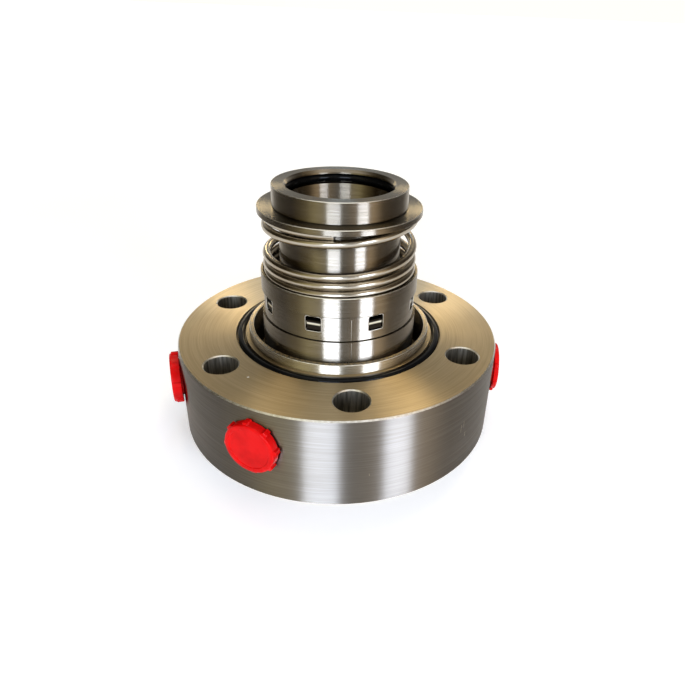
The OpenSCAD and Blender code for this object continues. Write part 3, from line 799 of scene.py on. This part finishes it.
def plug_profile(head):
    """Radius, place along the axis and share of the ribs, from the face to the hollow."""
    face = [(PLUG_MIDDLE_R, head - FACE_SUNK, 0), (FACE_R[0], head - FACE_SUNK, 0),
            (FACE_R[1], head - STEP_ROUND, 0), (FACE_R[2], head, 0)]
    rim = [(PLUG_R - RIM_ROUND, head, 0)]
    rim += [(PLUG_R - RIM_ROUND * (1 - sin(a)), head - RIM_ROUND * (1 - cos(a)), 0) for a in RIM_ANGLES]
    ribs = [(PLUG_R, head - depth * MM, share) for depth, share in RIB_START]
    ribs += [(PLUG_R, RIB_FOOT, 1), (PLUG_R - RIB_FOOT_BEVEL, CLEARANCE, 1), (THREAD_R, CLEARANCE, 0)]
    thread = []
    for k in range(int((PLUG_LENGTH - THREAD_MARGIN) / THREAD_PITCH)):
        crest = THREAD_START - k * THREAD_PITCH
        thread += [(THREAD_R, crest, 0), (THREAD_R - THREAD_DEPTH, crest - THREAD_PITCH / 2, 0)]
    end = CLEARANCE - PLUG_LENGTH
    hollow = [(THREAD_R - THREAD_DEPTH, THREAD_END_BEVEL - PLUG_LENGTH, 0),
              (THREAD_END_R, end, 0), (HOLLOW_R, end, 0), (HOLLOW_R, HOLLOW_TOP, 0),
              (PLUG_MIDDLE_R, HOLLOW_TOP, 0)]
    return face + rim + ribs + thread + hollow


# %% The ribs of a plug
PLUG_RIB_R = 14.85 * MM
PLUG_RIBS = 8
RIB_HALF_WIDTH = 1.1 * MM
RIB_FLANK = 0.35 * MM


def rib_share(turn):
    """One on top of a rib, nought between the ribs, with short flanks."""
    spacing = 2 * pi / PLUG_RIBS
    off = abs((turn + spacing / 2) % spacing - spacing / 2) * PLUG_R
    return min(max((RIB_HALF_WIDTH + RIB_FLANK - off) / RIB_FLANK, 0), 1)


# %% Mould the plugs
PLUG_STEPS = 240
PLUG_STAND_OFF = 0.4 * MM
PLUG_EDGE = 35
# Solid, angle of its port from the front in degrees, height of the head, and turn of the ribs
PLUGS = [("port_plug_flush", -31, 5 * MM, 6), ("port_plug_vent", -80, 5 * MM, 14),
         ("port_plug_drain", 79, 2.8 * MM, 14)]


def mould_plug(node, angle, head, rib_turn):
    """A plug in its port, standing for the solid of that name."""
    low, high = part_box(node)
    outward = Vector((sin(radians(angle)), -cos(radians(angle)), 0))
    side = Vector((cos(radians(angle)), sin(radians(angle)), 0))
    seat = outward * (GLAND_R + PLUG_STAND_OFF) + Vector((0, 0, (low.z + high.z) / 2))
    rings = []
    for radius, along, ribbed in plug_profile(head):
        ring = []
        for j in range(PLUG_STEPS):
            turn = 2 * pi * j / PLUG_STEPS
            r = radius + (PLUG_RIB_R - PLUG_R) * ribbed * rib_share(turn - radians(rib_turn))
            ring.append(seat + outward * along + side * (r * sin(turn)) - Vector((0, 0, r * cos(turn))))
        rings.append(ring)
    mesh = bmesh.new()
    skin(mesh, rings)
    name = node.replace("port_plug", "plug")
    smooth(finish_piece(name, mesh, red_plastic, "gland", "red_plastic", node), PLUG_EDGE)


for plug_row in PLUGS:
    mould_plug(*plug_row)

# %% [markdown]
# ## The floor
# The seal stands on a plain pale floor, in front of a white background. More light would make
# the floor white, but the object too bright. So the paper has a little glow of its own, which
# only the rays of the picture see: from the camera, off the metal or through glass. It grows with
# the distance, and the shadow round the gland stays.

# %% Lay the floor
floor_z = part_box("gland_plate")[0].z
FLOOR_SIZE = 120
PAPER_FIBRE = 300
# Distance from the seal, and strength of the glow there
NEAR_FLOOR = 0.5
NEAR_GLOW = 0.28
FAR_FLOOR = 1.6
FAR_GLOW = 0.6


def floor_paper():
    """Pale paper that is lifted towards white for the rays that show it."""
    material = new_material("floor_paper", Roughness=0.9, Emission_Color=(1, 1, 1, 1))
    place = own_place(material)
    tint(material, noise(material, place, PAPER_FIBRE), (0.855, 0.87, 0.905), (0.875, 0.89, 0.925))
    ray = add_node(material, "LightPath").outputs
    seen = maths(material, "MAXIMUM", ray["Is Camera Ray"], ray["Is Glossy Ray"])
    seen = maths(material, "MAXIMUM", seen, ray["Is Transmission Ray"])
    away = add_node(material, "VectorMath", {0: place}, operation="LENGTH").outputs["Value"]
    glow = remap(material, away, NEAR_GLOW, FAR_GLOW, NEAR_FLOOR, FAR_FLOOR)
    plug_in(material, "Emission Strength", maths(material, "MULTIPLY", seen, glow))
    return material


def build_floor():
    """A large plain floor at the foot of the gland."""
    half = FLOOR_SIZE / 2
    corners = [(-half, -half), (half, -half), (half, half), (-half, half)]
    mesh = bmesh.new()
    mesh.faces.new([mesh.verts.new((x, y, floor_z)) for x, y in corners])
    data = bpy.data.meshes.new("floor")
    mesh.to_mesh(data)
    mesh.free()
    data.materials.append(floor_paper())
    floor = bpy.data.objects.new("floor", data)
    bpy.context.collection.objects.link(floor)


build_floor()
print("floor at", round(floor_z / MM, 1), "mm")

# %% [markdown]
# ## The walls of the studio
# Steel looks like what it mirrors, so the world is a studio. An even grey world would make the
# seal look like plastic. Here the walls change with the direction: dark left and right, gold in
# two places beside the camera, grey behind the seal, and brighter near the floor. A bright
# ceiling closes the room, for the faces that look up.

# %% Build the walls
# Azimuth from the camera towards +X in degrees, and the colour of the studio wall there
STUDIO_WALL = [(-180, (0.52, 0.51, 0.49)), (-150, (0.51, 0.495, 0.46)), (-130, (0.05, 0.04, 0.02)),
               (-85, (0.03, 0.02, 0.01)), (-60, (0.30, 0.25, 0.12)), (-45, (0.80, 0.73, 0.42)),
               (-25, (0.74, 0.69, 0.50)), (8, (0.34, 0.34, 0.33)), (57, (1.05, 0.84, 0.56)),
               (75, (0.20, 0.15, 0.09)), (95, (0.08, 0.06, 0.04)), (125, (0.07, 0.06, 0.05)),
               (150, (0.53, 0.515, 0.48)), (180, (0.52, 0.51, 0.49))]
# Heights are the upward part of a direction: nought is level, and one is straight up
HORIZON = (0.03, 0.13)
HORIZON_GLOW = 2.0
CEILING_EDGE = (0.78, 0.95)
CEILING = (1.25, 1.22, 1.16, 1)


def build_world():
    """A studio whose walls change with the direction, under a bright ceiling."""
    world = bpy.data.worlds.new("studio")
    world.use_nodes = True
    x, y, z = parts_of(world, add_node(world, "TexCoord").outputs["Generated"])
    azimuth = maths(world, "ARCTAN2", x, maths(world, "MULTIPLY", y, -1))
    azimuth = maths(world, "SUBTRACT", azimuth, CAMERA_AZIMUTH)
    around = remap(world, azimuth, 0.0, 1.0, -pi, pi)
    wall = ramp(world, around, [(angle / 360 + 0.5, colour) for angle, colour in STUDIO_WALL])
    glow = remap(world, z, HORIZON_GLOW, 1.0, *HORIZON)
    wall = add_node(world, "VectorMath", {0: wall, "Scale": glow}, operation="SCALE").outputs[0]
    height = remap(world, z, 0.0, 1.0, *CEILING_EDGE, interpolation_type="SMOOTHSTEP")
    background = world.node_tree.nodes["Background"]
    sky = mix_colours(world, height, wall, CEILING)
    world.node_tree.links.new(sky, background.inputs["Color"])
    bpy.context.scene.world = world


build_world()
print("studio wall has", len(STUDIO_WALL), "colours")

# %% [markdown]
# ## The lamps
# Two tall cool windows, one behind the camera and one to its right, draw the two white stripes
# down the head and the gland. The level faces have lamps of their own behind the seal: a cool one
# for the pale stripe at the front of the gland, two high gold ones for the gold stripes beside
# it, and two low ones for the gold fans at the back. Sharp stripes need small lamps, so each is
# an area lamp of a chosen width, not a sun.

# %% Hang the lamps
LAMP_DISTANCE = 1.3
HIGH_LAMP_DISTANCE = 1.0
DAYLIGHT = (0.86, 1.0, 1.27)
LAMPLIGHT = (1.0, 0.80, 0.48)
SKYLIGHT = (0.65, 0.92, 1.4)
# Name, azimuth in degrees, distance, foot, top, width, radiance and colour
LAMPS = [("left_window", -10.5, LAMP_DISTANCE, 0.03, 0.75, 0.50, 9.6, DAYLIGHT),
         ("right_window", 37.5, LAMP_DISTANCE, 0.03, 0.75, 0.40, 9.6, DAYLIGHT),
         ("back_window", 180, LAMP_DISTANCE, 1.0, 2.2, 0.20, 4.0, SKYLIGHT),
         ("gold_window_right", 148, HIGH_LAMP_DISTANCE, 1.3, 2.8, 0.22, 12.0, LAMPLIGHT),
         ("gold_window_left", -152, HIGH_LAMP_DISTANCE, 1.3, 2.8, 0.22, 4.5, LAMPLIGHT),
         ("back_glow_right", 164, LAMP_DISTANCE, 0.42, 0.66, 0.14, 9.5, LAMPLIGHT),
         ("back_glow_left", -164, LAMP_DISTANCE, 0.42, 0.66, 0.14, 9.5, LAMPLIGHT)]


def area_lamp(name, azimuth, distance, low, high, width, radiance, colour):
    """An upright soft lamp. Azimuth counts from the camera towards +X, heights from the floor."""
    data = bpy.data.lights.new(name, "AREA")
    data.shape = "RECTANGLE"
    data.size = width
    data.size_y = high - low
    data.color = colour
    data.energy = radiance * pi * width * (high - low)
    lamp = bpy.data.objects.new(name, data)
    bpy.context.collection.objects.link(lamp)
    a = radians(azimuth) + CAMERA_AZIMUTH
    lamp.location = (distance * sin(a), -distance * cos(a), floor_z + (low + high) / 2)
    away = Vector((lamp.location.x, lamp.location.y, 0))
    lamp.rotation_euler = away.to_track_quat("Z", "Y").to_euler()


for lamp_row in LAMPS:
    area_lamp(*lamp_row)
bpy.context.scene.view_settings.view_transform = "Standard"
print("lamps:", len(LAMPS))
